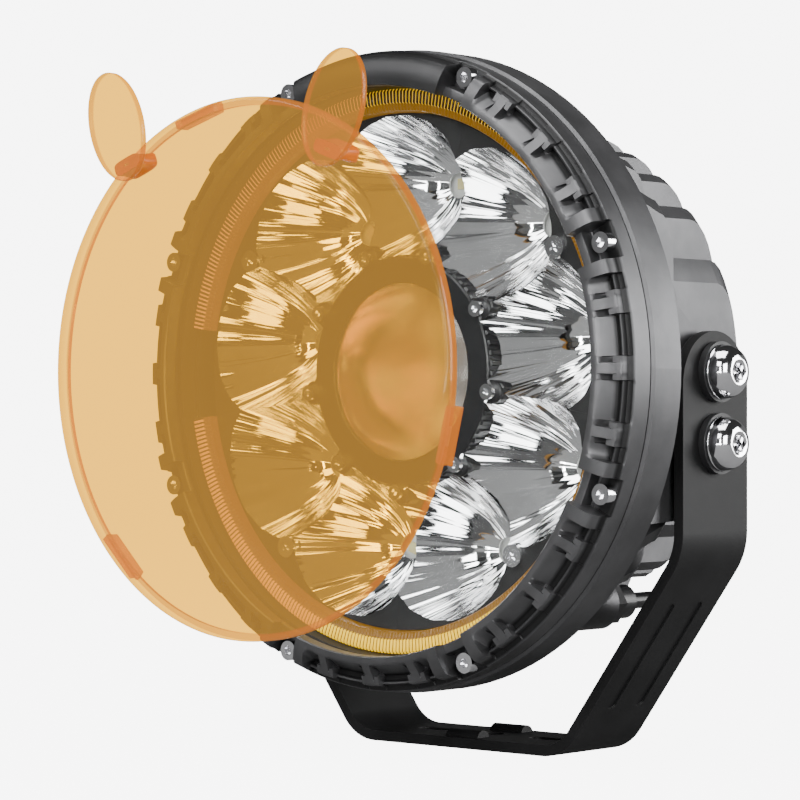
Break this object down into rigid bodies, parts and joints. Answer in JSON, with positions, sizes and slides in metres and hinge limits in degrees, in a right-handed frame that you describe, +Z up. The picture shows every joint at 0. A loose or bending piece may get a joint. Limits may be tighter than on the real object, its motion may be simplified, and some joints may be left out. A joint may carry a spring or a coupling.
{
  "type": "fog light",
  "caption": "Round vehicle fog and driving light on a steel U bracket with tilt pivots, a ring of reflector cups round a projector lens, and a clip-on amber cover.",
  "frame": {"origin": "centre of the base bolt hole, on the underside of the bracket", "axes": "+Z up out of the mounting surface, the lamp faces -Y, +X to the right seen from the front"},
  "size_m": [0.224, 0.176, 0.2461],
  "materials": {
    "bracket_paint": "satin powder coat",
    "housing_alloy": "satin powder coat on die-cast alloy",
    "bezel_alloy": "satin powder coat on die-cast alloy",
    "bright_steel": "polished",
    "clear_lens": "polished clear polycarbonate",
    "silicone": "matte",
    "silicone_grey": "matte",
    "mirror_chrome": "vacuum metallised mirror",
    "black_plastic": "satin",
    "projector_glass": "polished",
    "amber_guide": "clear fluted acrylic over amber light",
    "circuit_board": "solder mask",
    "white_board": "white solder mask",
    "led_phosphor": "matte",
    "wire_red": "matte",
    "chrome_bolt": "polished stainless steel",
    "black_washer": "black oxide",
    "amber_plastic": "polished transparent amber acrylic"
  },
  "bodies": {
    "bracket": {"bracket": "bracket_paint"},
    "lamp": {"housing": "housing_alloy", "bezel": "bezel_alloy", "bezel_screws": "bright_steel", "outer_lens": "clear_lens", "lens_seal": "silicone", "reflector": "mirror_chrome", "reflector_screws": "bright_steel", "hub_ring": "black_plastic", "hub_screws": "bright_steel", "projector_lens": "projector_glass", "projector_barrel": "black_plastic", "projector_reflector": "mirror_chrome", "light_guide_upper": "amber_guide", "light_guide_lower": "amber_guide", "guide_board": "circuit_board", "guide_leds": "led_phosphor", "led_board": "white_board", "led_chips": "led_phosphor", "centre_led": "led_phosphor", "board_screws": "bright_steel", "thermal_pad": "silicone_grey", "driver_board": "circuit_board", "driver_parts": "black_plastic", "lead_wires": "wire_red", "rear_cover": "housing_alloy", "rear_seal": "silicone", "rear_screws": "bright_steel", "breather": "black_plastic", "cable_gland": "black_plastic", "pivot_bolt_left": "chrome_bolt", "pivot_bolt_right": "chrome_bolt", "lock_bolt_left": "chrome_bolt", "lock_bolt_right": "chrome_bolt", "arm_washers": "black_washer"},
    "cover": {"amber_cover": "amber_plastic"}
  },
  "joints": [
    {"name": "lamp_tilt", "type": "hinge", "parent": "bracket", "child": "lamp", "pos_m": [0, 0, 0.1336], "axis": [1, 0, 0], "range_deg": [-9, 9]},
    {"name": "cover_clip", "type": "slide", "parent": "lamp", "child": "cover", "axis": [0, 1, 0], "range_m": [0, 0.0585]}
  ]
}
